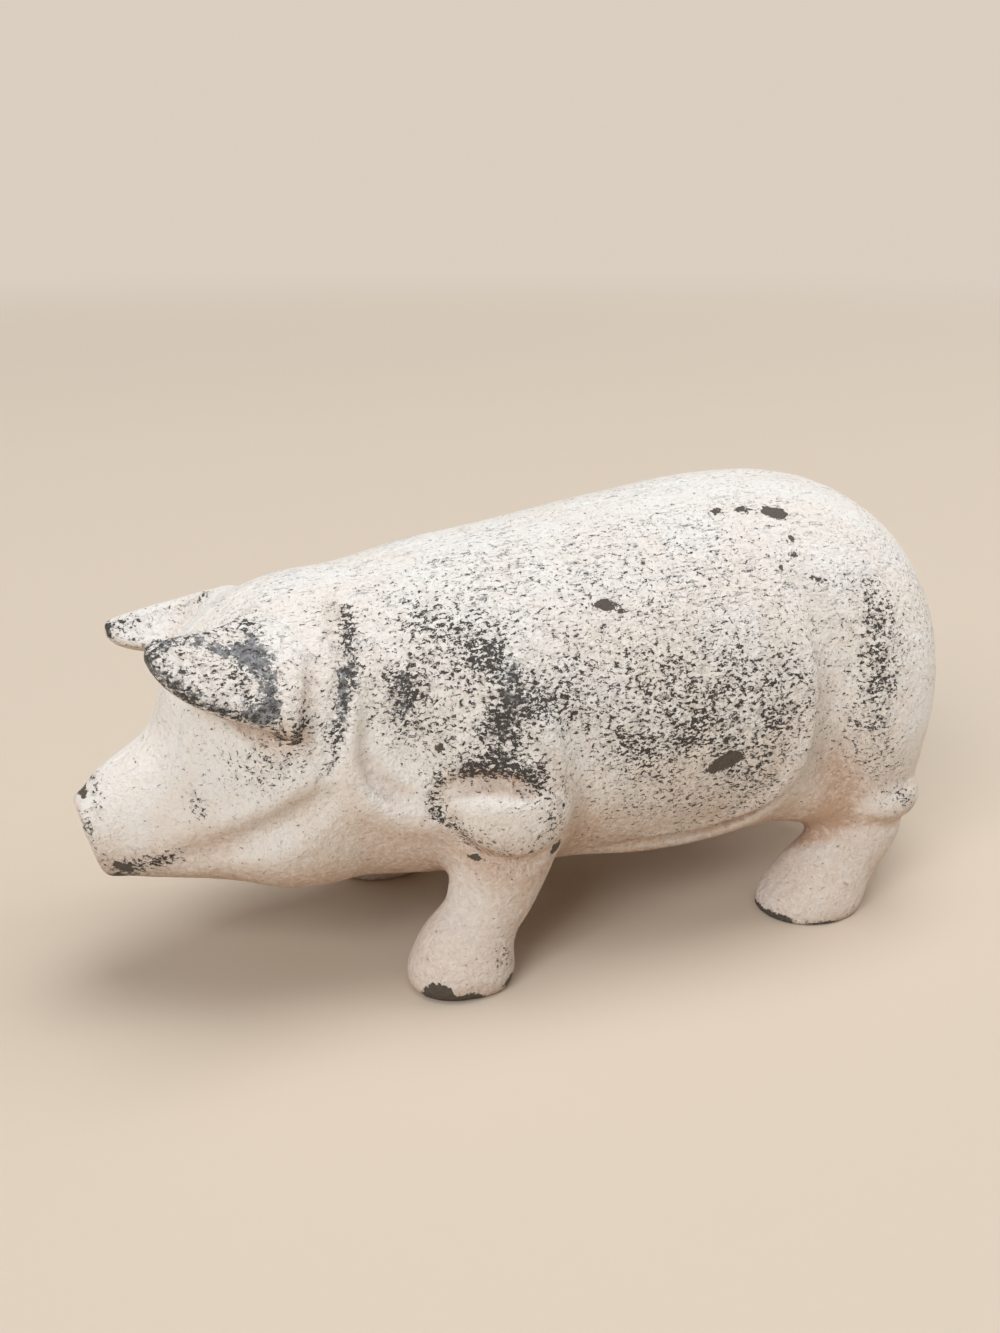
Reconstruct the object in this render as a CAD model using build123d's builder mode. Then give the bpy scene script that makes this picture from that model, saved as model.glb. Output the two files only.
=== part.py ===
"""Cast-iron pig figurine: two hollow half shells joined on the centre plane by one long screw.

The pig stands on z = 0 and faces -X, with its left half on the -Y side of the centre plane.
The origin is under the middle of the pig. All sizes are in millimetres.
"""

import math
import os

from build123d import *

# Trunk: a barrel about a line that rises towards the rump, with a domed head and rump
neck_x = -34.0
neck_z = 32.4
neck_radius = 18.4
waist_x = 26.0
waist_z = 34.5
waist_radius = 26.2
head_dome_length = 17.6
rump_dome_length = 35.5
dome_fullness_share = 0.86
head_steps = 3
rump_steps = 4

# Outline of the barrel: the place along its line as a share of it, then the share of the
# widening from neck to waist that is reached there
barrel_shares = (
    (0.00, 0.00),
    (0.36, 0.51),
    (1.00, 1.00),
)

# Jowls, egg-shaped along the underside of the head and neck
jowl_x = -32.0
jowl_y = 5.0
jowl_z = 23.3
jowl_radius = 11.3
jowl_half_length = 20.0
jowl_steps = 4

# Snout: a cone from the disc back into the head
snout_x = -59.6
snout_z = 21.4
snout_radius = 5.3
jaw_x = -38.0
jaw_z = 27.0
jaw_radius = 15.2
disc_radius = 5.5
disc_thickness = 2.0
disc_lean_deg = 15.5
nostril_diameter = 1.8
nostril_depth = 1.0
nostril_spread = 2.4

# Front legs, each turned about a line from the hoof to the elbow
front_hoof_x = -18.4
front_hoof_y = 17.6
elbow_x = -10.6
elbow_y = 16.6
elbow_z = 18.0
front_leg_radius = 6.6

# Shoulders, egg-shaped about a line from the elbow up to the back
shoulder_x = -9.5
shoulder_y = 13.0
shoulder_z = 29.0
shoulder_radius = 12.8
shoulder_half_length = 17.0
shoulder_lean_deg = 10.0

# Elbows, egg-shaped over the top of each front leg
elbow_fold_x = -11.2
elbow_fold_y = 18.4
elbow_fold_z = 25.4
elbow_fold_radius = 7.2
elbow_fold_half_length = 6.4
elbow_fold_steps = 4

# Hind legs, each turned about a line from the hoof to the hock
hind_hoof_x = 37.4
hind_hoof_y = 17.4
hock_x = 45.0
hock_y = 16.4
hock_z = 15.0
hind_leg_radius = 7.3

# Hams, egg-shaped about a line from the hock up to the rump
ham_x = 42.0
ham_y = 12.2
ham_z = 31.0
ham_radius = 14.2
ham_half_length = 20.0
ham_lean_deg = 6.0

# Valleys before the hams: a ring-shaped cut that leans back towards its foot
valley_x = 33.6
valley_width = 9.0
valley_depth = 2.2
valley_radius = 40.0
valley_lean_deg = 13.0
valley_rise_deg = 26.0
valley_drop_deg = 21.0

# How far the line of a shoulder or ham leans in towards the back
bulge_tilt_deg = 12.0
bulge_steps = 6

# Ears: leaf-shaped, bowed on top, thin below and thicker towards their upper edge
ear_root_x = -36.2
ear_root_y = 13.2
ear_root_z = 45.0
ear_tip_x = -53.2
ear_tip_y = 11.2
ear_tip_z = 48.4
ear_slope_deg = 40.0
ear_below = 8.4
ear_above = 8.0
ear_round = 0.8
ear_thickness = 2.7
ear_bow_radius = 15.0
ear_root_depth = 7.6
ear_tip_depth = 2.2
ear_edge_depth = 3.6
right_ear_droop = 10.6
right_ear_reach = 1.4

# A place on each side of an ear between root and tip, as shares of the ear's length and of its
# reach on that side
ear_below_shares = (0.60, 0.80)
ear_above_shares = (0.48, 0.55)

# Tail, lying down the middle of the rump
tail_diameter = 3.0
tail_sink = 0.9
tail_shares = (0.56, 0.26, -0.06, -0.34)

# Screw, and its bosses and seat
screw_x = 4.0
screw_diameter = 4.2
head_diameter = 7.6
head_height = 2.6
slot_width = 1.1
slot_depth = 1.2
thread_engagement = 14.0
thread_end_gap = 2.0
screw_clearance = 0.2
head_clearance = 0.6
head_seat_y = 19.5
boss_radius = 5.4

# Hollow, locating pegs and the overrun of cutting shapes
wall = 4.0
hollow_front_gap = 5.0
hollow_rear_length = 14.0
hollow_step_share = 0.5
peg_x = (-45.0, 51.5)
peg_diameter = 3.6
peg_height = 2.4
peg_clearance = 0.2
overrun = 2.0

# Outlines of the legs: the place along the line from the hoof as a share of it, then the
# radius as a share of the leg's own
front_leg_shares = (
    (0.14, 0.96),
    (0.56, 0.80),
    (1.00, 1.06),
    (1.40, 0.00),
)
hind_leg_shares = (
    (0.15, 0.95),
    (0.62, 0.86),
    (1.06, 1.05),
    (1.70, 0.00),
)

# The line that the trunk is turned about
trunk_line = Vector(waist_x - neck_x, 0, waist_z - neck_z)
trunk_span = trunk_line.length
trunk_plane = Plane(origin=(neck_x, 0, neck_z), x_dir=trunk_line, z_dir=(0, -1, 0))
trunk_axis = Axis(trunk_plane.origin, trunk_line)


def trunk_line_z(x):
    """Height of the trunk's line at a place along the pig."""
    return neck_z + (x - neck_x) * (waist_z - neck_z) / (waist_x - neck_x)


def barrel_radius_at(along):
    """Radius of the barrel at a place along the trunk's line."""
    share = along / trunk_span
    for (start, low), (end, high) in zip(barrel_shares, barrel_shares[1:]):
        if share <= end:
            reached = low + (high - low) * (share - start) / (end - start)
            return neck_radius + reached * (waist_radius - neck_radius)


def dome_points(length, radius, steps):
    """Points from a dome's rim to its tip, as (how far out, radius), a little fuller than round."""
    turns = [math.pi / 2 * step / steps for step in range(steps)]
    rim = [
        (
            length * math.sin(turn) ** dome_fullness_share,
            radius * math.cos(turn) ** dome_fullness_share,
        )
        for turn in turns
    ]
    return [*rim, (length, 0)]


def rump_point(share):
    """Place of the tail on the rump, a share of the trunk's radius above its line."""
    reach = rump_dome_length * math.sqrt(1 - share**2)
    return trunk_plane.from_local_coords(
        Vector(trunk_span + reach - tail_sink, share * waist_radius)
    )


# Trunk and head
head_points = [(-out, up) for out, up in dome_points(head_dome_length, neck_radius, head_steps)]
barrel_places = [trunk_span * share for share, reached in barrel_shares[1:-1]]
rump_points = dome_points(rump_dome_length, waist_radius, rump_steps)
trunk_points = [
    *reversed(head_points),
    *[(along, barrel_radius_at(along)) for along in barrel_places],
    *[(trunk_span + out, up) for out, up in rump_points],
]
with BuildPart() as trunk:
    with BuildSketch(trunk_plane):
        Polygon(*trunk_points, align=None)
    revolve(axis=trunk_axis)

# Snout and its disc
snout_line = Vector(jaw_x - snout_x, 0, jaw_z - snout_z)
snout_plane = Plane(origin=(snout_x, 0, snout_z), x_dir=snout_line, z_dir=(0, -1, 0))
disc_plane = Plane(
    origin=(snout_x, 0, snout_z),
    x_dir=(0, 1, 0),
    z_dir=Vector(-1, 0, 0).rotate(Axis.Y, -disc_lean_deg),
)
with BuildPart() as snout:
    with BuildSketch(snout_plane):
        Polygon(
            (0, 0),
            (0, snout_radius),
            (snout_line.length, jaw_radius),
            (snout_line.length, 0),
            align=None,
        )
    revolve(axis=Axis(snout_plane.origin, snout_line))
    with BuildSketch(disc_plane):
        Circle(disc_radius)
    extrude(amount=disc_thickness / 2, both=True)
    with BuildSketch(disc_plane.offset(disc_thickness / 2)):
        with GridLocations(2 * nostril_spread, 0, 2, 1):
            Circle(nostril_diameter / 2)
    extrude(amount=-nostril_depth, mode=Mode.SUBTRACT)

# Tail
with BuildPart() as tail:
    with BuildLine() as tail_path:
        Polyline(*[rump_point(share) for share in tail_shares])
    with BuildSketch(Plane(origin=tail_path.line @ 0, z_dir=tail_path.line % 0)):
        Circle(tail_diameter / 2)
    sweep(transition=Transition.RIGHT)


def turned_leg(hoof, joint, leg_radius, shares):
    """Left leg turned about the line from its hoof to its elbow or hock."""
    line = joint - hoof
    plane = Plane(origin=hoof, x_dir=line, z_dir=line.cross(Vector(1, 0, 0)))
    points = [(along * line.length, radius * leg_radius) for along, radius in shares]
    foot_radius = points[0][1]
    with BuildPart() as leg:
        with BuildSketch(plane):
            Polygon((-overrun, 0), (-overrun, foot_radius), *points, align=None)
        revolve(axis=Axis(hoof, line))
        split(bisect_by=Plane.XY, keep=Keep.TOP)
    return leg.part


def leaning_line(lean_deg):
    """Upright line that leans back by an angle and in to the spine."""
    return Vector(0, 0, 1).rotate(Axis.X, -bulge_tilt_deg).rotate(Axis.Y, lean_deg)


def turned_egg(middle, line, half_length, radius, steps):
    """Egg turned about a line through its middle."""
    plane = Plane(origin=middle, x_dir=line, z_dir=line.cross(Vector(0, 1, 0)))
    turns = [math.pi * step / steps for step in range(steps + 1)]
    points = [(-half_length * math.cos(turn), radius * math.sin(turn)) for turn in turns]
    with BuildPart() as egg:
        with BuildSketch(plane):
            Polygon(*points, align=None)
        revolve(axis=Axis(middle, line))
    return egg.part


left_limbs = [
    turned_leg(
        Vector(front_hoof_x, -front_hoof_y, 0),
        Vector(elbow_x, -elbow_y, elbow_z),
        front_leg_radius,
        front_leg_shares,
    ),
    turned_egg(
        Vector(shoulder_x, -shoulder_y, shoulder_z),
        leaning_line(shoulder_lean_deg),
        shoulder_half_length,
        shoulder_radius,
        bulge_steps,
    ),
    turned_egg(
        Vector(elbow_fold_x, -elbow_fold_y, elbow_fold_z),
        Vector(0, 0, 1),
        elbow_fold_half_length,
        elbow_fold_radius,
        elbow_fold_steps,
    ),
    turned_leg(
        Vector(hind_hoof_x, -hind_hoof_y, 0),
        Vector(hock_x, -hock_y, hock_z),
        hind_leg_radius,
        hind_leg_shares,
    ),
    turned_egg(
        Vector(ham_x, -ham_y, ham_z),
        leaning_line(ham_lean_deg),
        ham_half_length,
        ham_radius,
        bulge_steps,
    ),
    turned_egg(
        Vector(jowl_x, -jowl_y, jowl_z),
        Vector(1, 0, 0),
        jowl_half_length,
        jowl_radius,
        jowl_steps,
    ),
]
right_limbs = [limb.mirror(Plane.XZ) for limb in left_limbs]


def bowed_ear(droop, reach):
    """Left ear from its root to its tip, lowered at the tip by a droop and drawn out by a reach."""
    root = Vector(ear_root_x, -ear_root_y, ear_root_z)
    tip = Vector(ear_tip_x - reach, -ear_tip_y, ear_tip_z - droop)
    slope = math.radians(ear_slope_deg)
    flap_plane = Plane(
        origin=root,
        x_dir=tip - root,
        z_dir=(0, -math.sin(slope), math.cos(slope)),
    )
    length = (tip - root).length
    below = (length * ear_below_shares[0], ear_below * ear_below_shares[1])
    above = (length * ear_above_shares[0], -ear_above * ear_above_shares[1])
    under_root = flap_plane.from_local_coords(Vector(0, 0, -ear_root_depth))
    under_tip = flap_plane.from_local_coords(Vector(length, 0, -ear_tip_depth))
    under_edge = flap_plane.from_local_coords(Vector(0, ear_below, -ear_edge_depth))
    under_plane = Plane(
        origin=under_root,
        x_dir=under_tip - under_root,
        z_dir=(under_tip - under_root).cross(under_edge - under_root),
    )
    bow_plane = Plane(
        origin=flap_plane.from_local_coords((0, 0, -ear_bow_radius)),
        x_dir=flap_plane.y_dir,
        z_dir=flap_plane.x_dir,
    )
    with BuildPart() as ear:
        with BuildSketch(flap_plane):
            with BuildLine():
                ThreePointArc((0, ear_below), (-ear_round, 0), (0, -ear_above))
                ThreePointArc((0, -ear_above), above, (length, 0))
                ThreePointArc((length, 0), below, (0, ear_below))
            make_face()
        extrude(amount=ear_bow_radius, both=True)
        split(bisect_by=under_plane, keep=Keep.TOP)
        with BuildSketch(bow_plane):
            Circle(ear_bow_radius + ear_thickness / 2)
        extrude(amount=2 * length, both=True, mode=Mode.INTERSECT)
    return ear.part


left_ear = bowed_ear(0, 0)
right_ear = bowed_ear(right_ear_droop, right_ear_reach).mirror(Plane.XZ)

# Valleys before the hams
valley_line = Vector(1, 0, 0).rotate(Axis.Y, -valley_lean_deg)
valley_axis = Axis(
    (valley_x, valley_radius - waist_radius + valley_depth, trunk_line_z(valley_x)),
    valley_line,
)
valley_start = Vector(0, -1, 0).rotate(Axis((0, 0, 0), valley_line), -valley_rise_deg)
with BuildPart() as left_valley:
    with BuildSketch(
        Plane(
            origin=valley_axis.position,
            x_dir=valley_line,
            z_dir=valley_line.cross(valley_start),
        )
    ):
        Polygon(
            (-valley_width / 2, valley_radius + valley_depth),
            (0, valley_radius),
            (valley_width / 2, valley_radius + valley_depth),
            align=None,
        )
    revolve(axis=valley_axis, revolution_arc=valley_rise_deg + valley_drop_deg)
right_valley = left_valley.part.mirror(Plane.XZ)

# Hollow inside the trunk, as the sand core leaves it, with a step where it widens
hollow_step = trunk_span * hollow_step_share
hollow_front_radius = barrel_radius_at(hollow_front_gap) - wall
hollow_rear_radius = barrel_radius_at(hollow_step) - wall
with BuildPart() as hollow:
    with BuildSketch(trunk_plane):
        Polygon(
            (hollow_front_gap, 0),
            (hollow_front_gap, hollow_front_radius),
            (hollow_step, hollow_front_radius),
            (hollow_step, hollow_rear_radius),
            (trunk_span + hollow_rear_length, hollow_rear_radius),
            (trunk_span + hollow_rear_length, 0),
            align=None,
        )
    revolve(axis=trunk_axis)

# The seam's plane, whose normal points into the left half, and what lies on it
seam = Plane(origin=(0, 0, 0), x_dir=(1, 0, 0), z_dir=(0, -1, 0))
screw_z = trunk_line_z(screw_x)
peg_places = [(x, trunk_line_z(x)) for x in peg_x]
boss_length = barrel_radius_at(screw_x - neck_x) - wall / 2

# Left half: the shell with its ear and legs, a blind threaded boss and two pegs
with BuildPart() as left_half:
    add(trunk.part)
    add(snout.part)
    add(tail.part)
    add(left_limbs)
    add(left_valley.part, mode=Mode.SUBTRACT)
    add(left_ear)
    split(bisect_by=seam, keep=Keep.TOP)
    add(hollow.part, mode=Mode.SUBTRACT)
    with BuildSketch(seam):
        with Locations((screw_x, screw_z)):
            Circle(boss_radius)
    extrude(amount=boss_length)
    with BuildSketch(seam):
        with Locations((screw_x, screw_z)):
            Circle(screw_diameter / 2)
    extrude(amount=thread_engagement + thread_end_gap, mode=Mode.SUBTRACT)
    with BuildSketch(seam):
        with Locations(*peg_places):
            Circle(peg_diameter / 2)
    extrude(amount=-peg_height)
left_half.part.label = "left_half"

# Right half: the shell with its ear and legs, a boss bored for the screw and two sockets
with BuildPart() as right_half:
    add(trunk.part)
    add(snout.part)
    add(tail.part)
    add(right_limbs)
    add(right_valley, mode=Mode.SUBTRACT)
    add(right_ear)
    split(bisect_by=seam, keep=Keep.BOTTOM)
    add(hollow.part, mode=Mode.SUBTRACT)
    with BuildSketch(seam):
        with Locations((screw_x, screw_z)):
            Circle(boss_radius)
    extrude(amount=-boss_length)
    with BuildSketch(seam):
        with Locations((screw_x, screw_z)):
            Circle(screw_diameter / 2 + screw_clearance)
    extrude(amount=-head_seat_y, mode=Mode.SUBTRACT)
    with BuildSketch(seam.offset(-head_seat_y)):
        with Locations((screw_x, screw_z)):
            Circle(head_diameter / 2 + head_clearance)
    extrude(amount=-waist_radius, mode=Mode.SUBTRACT)
    with BuildSketch(seam):
        with Locations(*peg_places):
            Circle(peg_diameter / 2 + peg_clearance)
    extrude(amount=-(peg_height + peg_clearance), mode=Mode.SUBTRACT)
right_half.part.label = "right_half"

# Screw: a long shank with a domed, slotted head
head_plane = seam.offset(-head_seat_y)
with BuildPart() as screw:
    with BuildSketch(head_plane):
        with Locations((screw_x, screw_z)):
            Circle(screw_diameter / 2)
    extrude(amount=head_seat_y + thread_engagement)
    with BuildSketch(head_plane):
        with Locations((screw_x, screw_z)):
            Circle(head_diameter / 2)
    extrude(amount=-head_height)
    chamfer(screw.faces().sort_by(Axis.Y)[-1].edges(), length=head_height / 2)
    with BuildSketch(head_plane.offset(-head_height)):
        with Locations((screw_x, screw_z)):
            Rectangle(head_diameter, slot_width)
    extrude(amount=slot_depth, mode=Mode.SUBTRACT)
screw.part.label = "screw"

os.makedirs("parts", exist_ok=True)
for piece in (left_half.part, right_half.part, screw.part):
    export_step(piece, f"parts/{piece.label}.step")
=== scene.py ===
"""Cast-iron pig figurine in rubbed white paint, standing on a plain pale floor.

The pig faces -X with its left flank towards -Y and stands on z = 0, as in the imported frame.
Shapes are worked out in millimetres on the pig and put into the frame in metres at the end.
"""

import math

import bmesh
import bpy
import numpy as np
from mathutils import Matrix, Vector


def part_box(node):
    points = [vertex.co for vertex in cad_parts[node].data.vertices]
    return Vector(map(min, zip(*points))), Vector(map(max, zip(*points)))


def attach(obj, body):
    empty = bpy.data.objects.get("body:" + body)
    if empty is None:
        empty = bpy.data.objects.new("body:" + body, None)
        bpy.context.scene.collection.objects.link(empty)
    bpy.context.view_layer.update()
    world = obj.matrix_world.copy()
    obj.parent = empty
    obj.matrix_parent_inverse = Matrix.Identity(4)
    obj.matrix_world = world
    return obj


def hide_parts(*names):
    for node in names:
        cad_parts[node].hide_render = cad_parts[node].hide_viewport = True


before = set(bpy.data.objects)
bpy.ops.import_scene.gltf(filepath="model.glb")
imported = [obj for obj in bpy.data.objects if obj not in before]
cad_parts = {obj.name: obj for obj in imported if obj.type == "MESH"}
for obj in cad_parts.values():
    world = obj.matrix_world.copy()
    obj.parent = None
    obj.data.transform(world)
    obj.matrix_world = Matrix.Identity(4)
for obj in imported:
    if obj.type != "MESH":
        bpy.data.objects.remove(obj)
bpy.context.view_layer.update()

# Sizes of the pig

PIG_LENGTH = 124.1
left_low, left_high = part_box("left_half")
screw_low, screw_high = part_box("screw")
METRES = (left_high.x - left_low.x) / PIG_LENGTH
SCREW_X = (screw_low.x + screw_high.x) / 2 / METRES
SCREW_Z = (screw_low.z + screw_high.z) / 2 / METRES
SCREW_TOP = screw_high.y / METRES
HEAD_RADIUS = (screw_high.x - screw_low.x) / 2 / METRES

# Distances: what stands for far away, how many fine steps each row of a path gets, how far past its radius
# a limb is read, and to how many of its widths a stroke is read
FAR = 30.0
FINE = 5
LIMB_REACH = 7
STROKE_REACH = 2.6

# Net: size of its cubes, cubes to a block, how near the skin cubes are read one by one, and its box
PITCH = 0.5
BLOCK = 4
BAND = 2.9
NET_START = (-68.0, -3.0)
NET_SPAN = (136.0, 59.0, 70.0)
MIDDLE_CUBE = 58
SETTLING_ROUNDS = 3
LEAST_STEEPNESS = 0.2

# Skin: depth of the seam, reaches of the readings for hollows and edges, height and size of its lumps,
# and the band above the soles where they fade
SEAM_DEPTH = 0.16
HOLLOW_REACH = 2.5
EDGE_REACH = 1.6
LUMPS = ((0.10, 6.0), (0.05, 2.6))
SOLE_BAND = 2
SEED = 7


# Shapes as distances: below zero is iron, above zero is air


def cubic(values, slopes, span, share, step):
    """Cubic span between two rows that takes each one's value and slope, at a share of its length."""
    return (
        values[span] * (1 + 2 * share) * (1 - share) ** 2
        + values[span + 1] * share**2 * (3 - 2 * share)
        + step * (slopes[span] * share * (1 - share) ** 2 - slopes[span + 1] * share**2 * (1 - share))
    )


def smooth_line(at, places, values):
    """Smooth curve through values at places: cubic spans whose slopes are the mean of their neighbours'."""
    places, values = np.asarray(places, float), np.asarray(values, float)
    steps = np.diff(places)
    rises = np.diff(values) / steps
    slopes = np.concatenate(([0], (rises[:-1] + rises[1:]) / 2, [0]))
    at = np.clip(at, places[0], places[-1])
    span = np.clip(np.searchsorted(places, at, side="right") - 1, 0, len(steps) - 1)
    return cubic(values, slopes, span, (at - places[span]) / steps[span], steps[span])


def join(one, other, width):
    """Union of two distances: the smaller, rounded with a fillet where they differ by less than a width."""
    share = np.clip(0.5 + (other - one) / (2 * width), 0, 1)
    return other + (one - other) * share - width * share * (1 - share)


def trim(one, other, width):
    """What two shapes have in common: the larger of two distances, rounded over a width."""
    return -join(-one, -other, width)


def barrel(p, places, tops, bottoms, widths, power, front, rear):
    """Body along x: at each place a superellipse between a top and a bottom, closed by round ends."""
    x, out, up = p
    at = np.clip(x, places[0], places[-1])
    top = smooth_line(at, places, tops)
    bottom = smooth_line(at, places, bottoms)
    width = smooth_line(at, places, widths)
    height = (top - bottom) / 2
    past = np.where(x < at, (x - at) / front, (x - at) / rear)
    across = np.abs(out / width) ** power
    upward = np.abs((up - (top + bottom) / 2) / height) ** power
    return (np.sqrt((across + upward) ** (2 / power) + past**2) - 1) * np.sqrt(width * height)


def turned(one, other, degrees):
    """Two coordinates turned by an angle in their plane."""
    turn = math.radians(degrees)
    return one * math.cos(turn) - other * math.sin(turn), one * math.sin(turn) + other * math.cos(turn)


def egg(p, middle, radii, lean=0.0, splay=0.0):
    """Ellipsoid: how far the point's share of the radii is past one, over how steeply that share grows."""
    x, out, up = (c - m for c, m in zip(p, middle))
    out, up = turned(out, up, splay)
    x, up = turned(x, up, lean)
    a, b, c = radii
    share = np.sqrt((x / a) ** 2 + (out / b) ** 2 + (up / c) ** 2)
    steep = np.sqrt((x / a**2) ** 2 + (out / b**2) ** 2 + (up / c**2) ** 2)
    return share * (share - 1) / np.maximum(steep, 1e-4)


def fine_path(rows):
    """Rows of (x, out, up, more...) made finer: cubic spans by length along the path."""
    rows = np.asarray(rows, float)
    lengths = np.linalg.norm(np.diff(rows[:, :3], axis=0), axis=1)
    reach = np.concatenate(([0], np.cumsum(lengths)))
    at = np.linspace(0, reach[-1], FINE * (len(rows) - 1) + 1)
    span = np.clip(np.searchsorted(reach, at, side="right") - 1, 0, len(rows) - 2)
    step = (reach[span + 1] - reach[span])[:, None]
    share = (at - reach[span])[:, None] / step
    return cubic(rows, np.gradient(rows, reach, axis=0), span, share, step)


def beside(p, rows, reach):
    """Which points lie inside the box round a path, grown by a reach on every side."""
    corners = np.asarray(rows, float)[:, :3]
    low, high = corners.min(0) - reach, corners.max(0) + reach
    inside = np.ones(len(p[0]), bool)
    for along, one, other in zip(p, low, high):
        inside &= (along > one) & (along < other)
    return inside


def spans(p, path):
    """For each short span of a path: the gap from it to each point, and the path's other values there."""
    x, out, up = p
    for one, other in zip(path[:-1], path[1:]):
        line = other[:3] - one[:3]
        share = (x - one[0]) * line[0] + (out - one[1]) * line[1] + (up - one[2]) * line[2]
        share = np.clip(share / (line @ line), 0, 1)
        gap = np.sqrt(
            (x - one[0] - share * line[0]) ** 2
            + (out - one[1] - share * line[1]) ** 2
            + (up - one[2] - share * line[2]) ** 2
        )
        yield gap, [a + share * (b - a) for a, b in zip(one[3:], other[3:])]


def limb(p, rows):
    """Round limb along a path: the least gap from it less the radius there."""
    path = fine_path(rows)
    near = beside(p, rows, path[:, 3].max() + LIMB_REACH)
    gaps = np.full(len(p[0]), FAR)
    if near.any():
        close = [along[near] for along in p]
        gaps[near] = np.min([gap - radius for gap, (radius,) in spans(close, path)], axis=0)
    return gaps


def stroke(p, rows):
    """Soft ridge or groove along a path: a height times a bell curve of the gap over a width."""
    path = fine_path(rows)
    near = beside(p, rows, STROKE_REACH * path[:, 3].max())
    heights = np.zeros(len(p[0]))
    if near.any():
        close = [along[near] for along in p]
        sign = 1 if path[:, 4].sum() > 0 else -1
        bells = [height * np.exp(-((gap / width) ** 2)) for gap, (width, height) in spans(close, path)]
        heights[near] = sign * np.max([sign * bell for bell in bells], axis=0)
    return heights


# The pig

# Body: places along x, then the back line, the belly line and the half width at each
TRUNK = dict(
    places=(-30, -16.5, -3, 13.5, 27, 34),
    tops=(52.6, 54.7, 56.4, 58.9, 60.4, 60.5),
    bottoms=(10.9, 9.9, 9.2, 8.6, 8.6, 8.9),
    widths=(18.3, 21.6, 23.2, 24.9, 25.8, 25.6),
    power=2.12,
    front=17,
    rear=27.6,
)
SNOUT = dict(
    places=(-62, -59, -56, -53, -49, -44, -38),
    tops=(26.6, 29.2, 31.0, 32.8, 35.8, 39, 41),
    bottoms=(15.9, 15.4, 15.0, 14.6, 14.1, 13.4, 12.8),
    widths=(4.7, 5.5, 7.0, 9.0, 11.8, 14.6, 16.6),
    power=2.1,
    front=60,
    rear=12,
)
DISC_PLACE = (-61.25, 22.0)
DISC_LEAN = math.radians(15.5)

# Eggs: middle (x, out, height), radii, and how far each leans along the pig and outwards in degrees
HEAD = ((-36, 0, 33.8), (15.2, 16.2, 17.0))
NOSTRIL = ((-61.6, 2.3, 23.2), (1.2, 0.95, 1.2))
JOWL = ((-35.5, 6.5, 22.9), (11.5, 9.6, 9.3), 12)
SHOULDER = ((-9.5, 13.4, 31.5), (11.0, 11.3, 17.0), 6, -10)
HAM = ((42.2, 12.5, 31.0), (14.0, 13.2, 20.0), 6, -8)
FRONT_HOOF = ((-17.6, 17.6, 2.4), (6.6, 6.2, 4.7), -12)
FRONT_HEEL = ((-14.8, 17.8, 1.8), (4.5, 5.6, 3.6))
HIND_HOOF = ((36.9, 17.4, 1.2), (7.7, 6.8, 5.2), -10)
ELBOW = ((-10.5, 21.1, 25.1), (7.9, 4.9, 6.9), 4)
HOCK = ((45.6, 19.4, 17.2), (6.2, 6.0, 4.1), -6)

# Fillets: widths over which shapes run into each other, and two that grow, the elbow's upwards from its
# crisp edge and the ears' towards their roots: least width, growth, where it starts and over what length
BODY_FILLET = 3
LEG_FILLET = 2
HOOF_FILLET = 3.6
HEEL_FILLET = 1.8
HOCK_FILLET = 1
DISC_FILLET = 1.2
TAIL_FILLET = 0.9
SOLE_FILLET = 0.4
FINE_FILLET = 0.35
ELBOW_FILLET = (0.4, 2.4, 28, 5)
EAR_FILLET = (0.9, 2.1, -45, 6)
RECESS_CLEARANCE = 0.6
RECESS_DEPTH = 2.6

# Legs: rows of x, out from the middle, height and radius
FRONT_LEG = (
    (-9.8, 15.9, 22.0, 7.6),
    (-10.9, 16.5, 17.4, 7.0),
    (-12.2, 17.0, 12.6, 5.8),
    (-13.8, 17.3, 9.0, 5.1),
    (-16.0, 17.5, 5.4, 5.4),
)
HIND_LEG = (
    (45.6, 15.6, 22.0, 7.6),
    (45.0, 16.6, 17.0, 7.0),
    (44.7, 17.1, 12.6, 6.2),
    (42.5, 17.4, 8.4, 5.7),
    (39.4, 17.4, 5.0, 5.5),
)
TAIL = (
    (57.0, 0.0, 49.5, 1.3),
    (60.0, 0.0, 45.0, 1.45),
    (61.3, 0.0, 38.5, 1.35),
    (60.8, 0.0, 31.5, 0.9),
)

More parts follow.
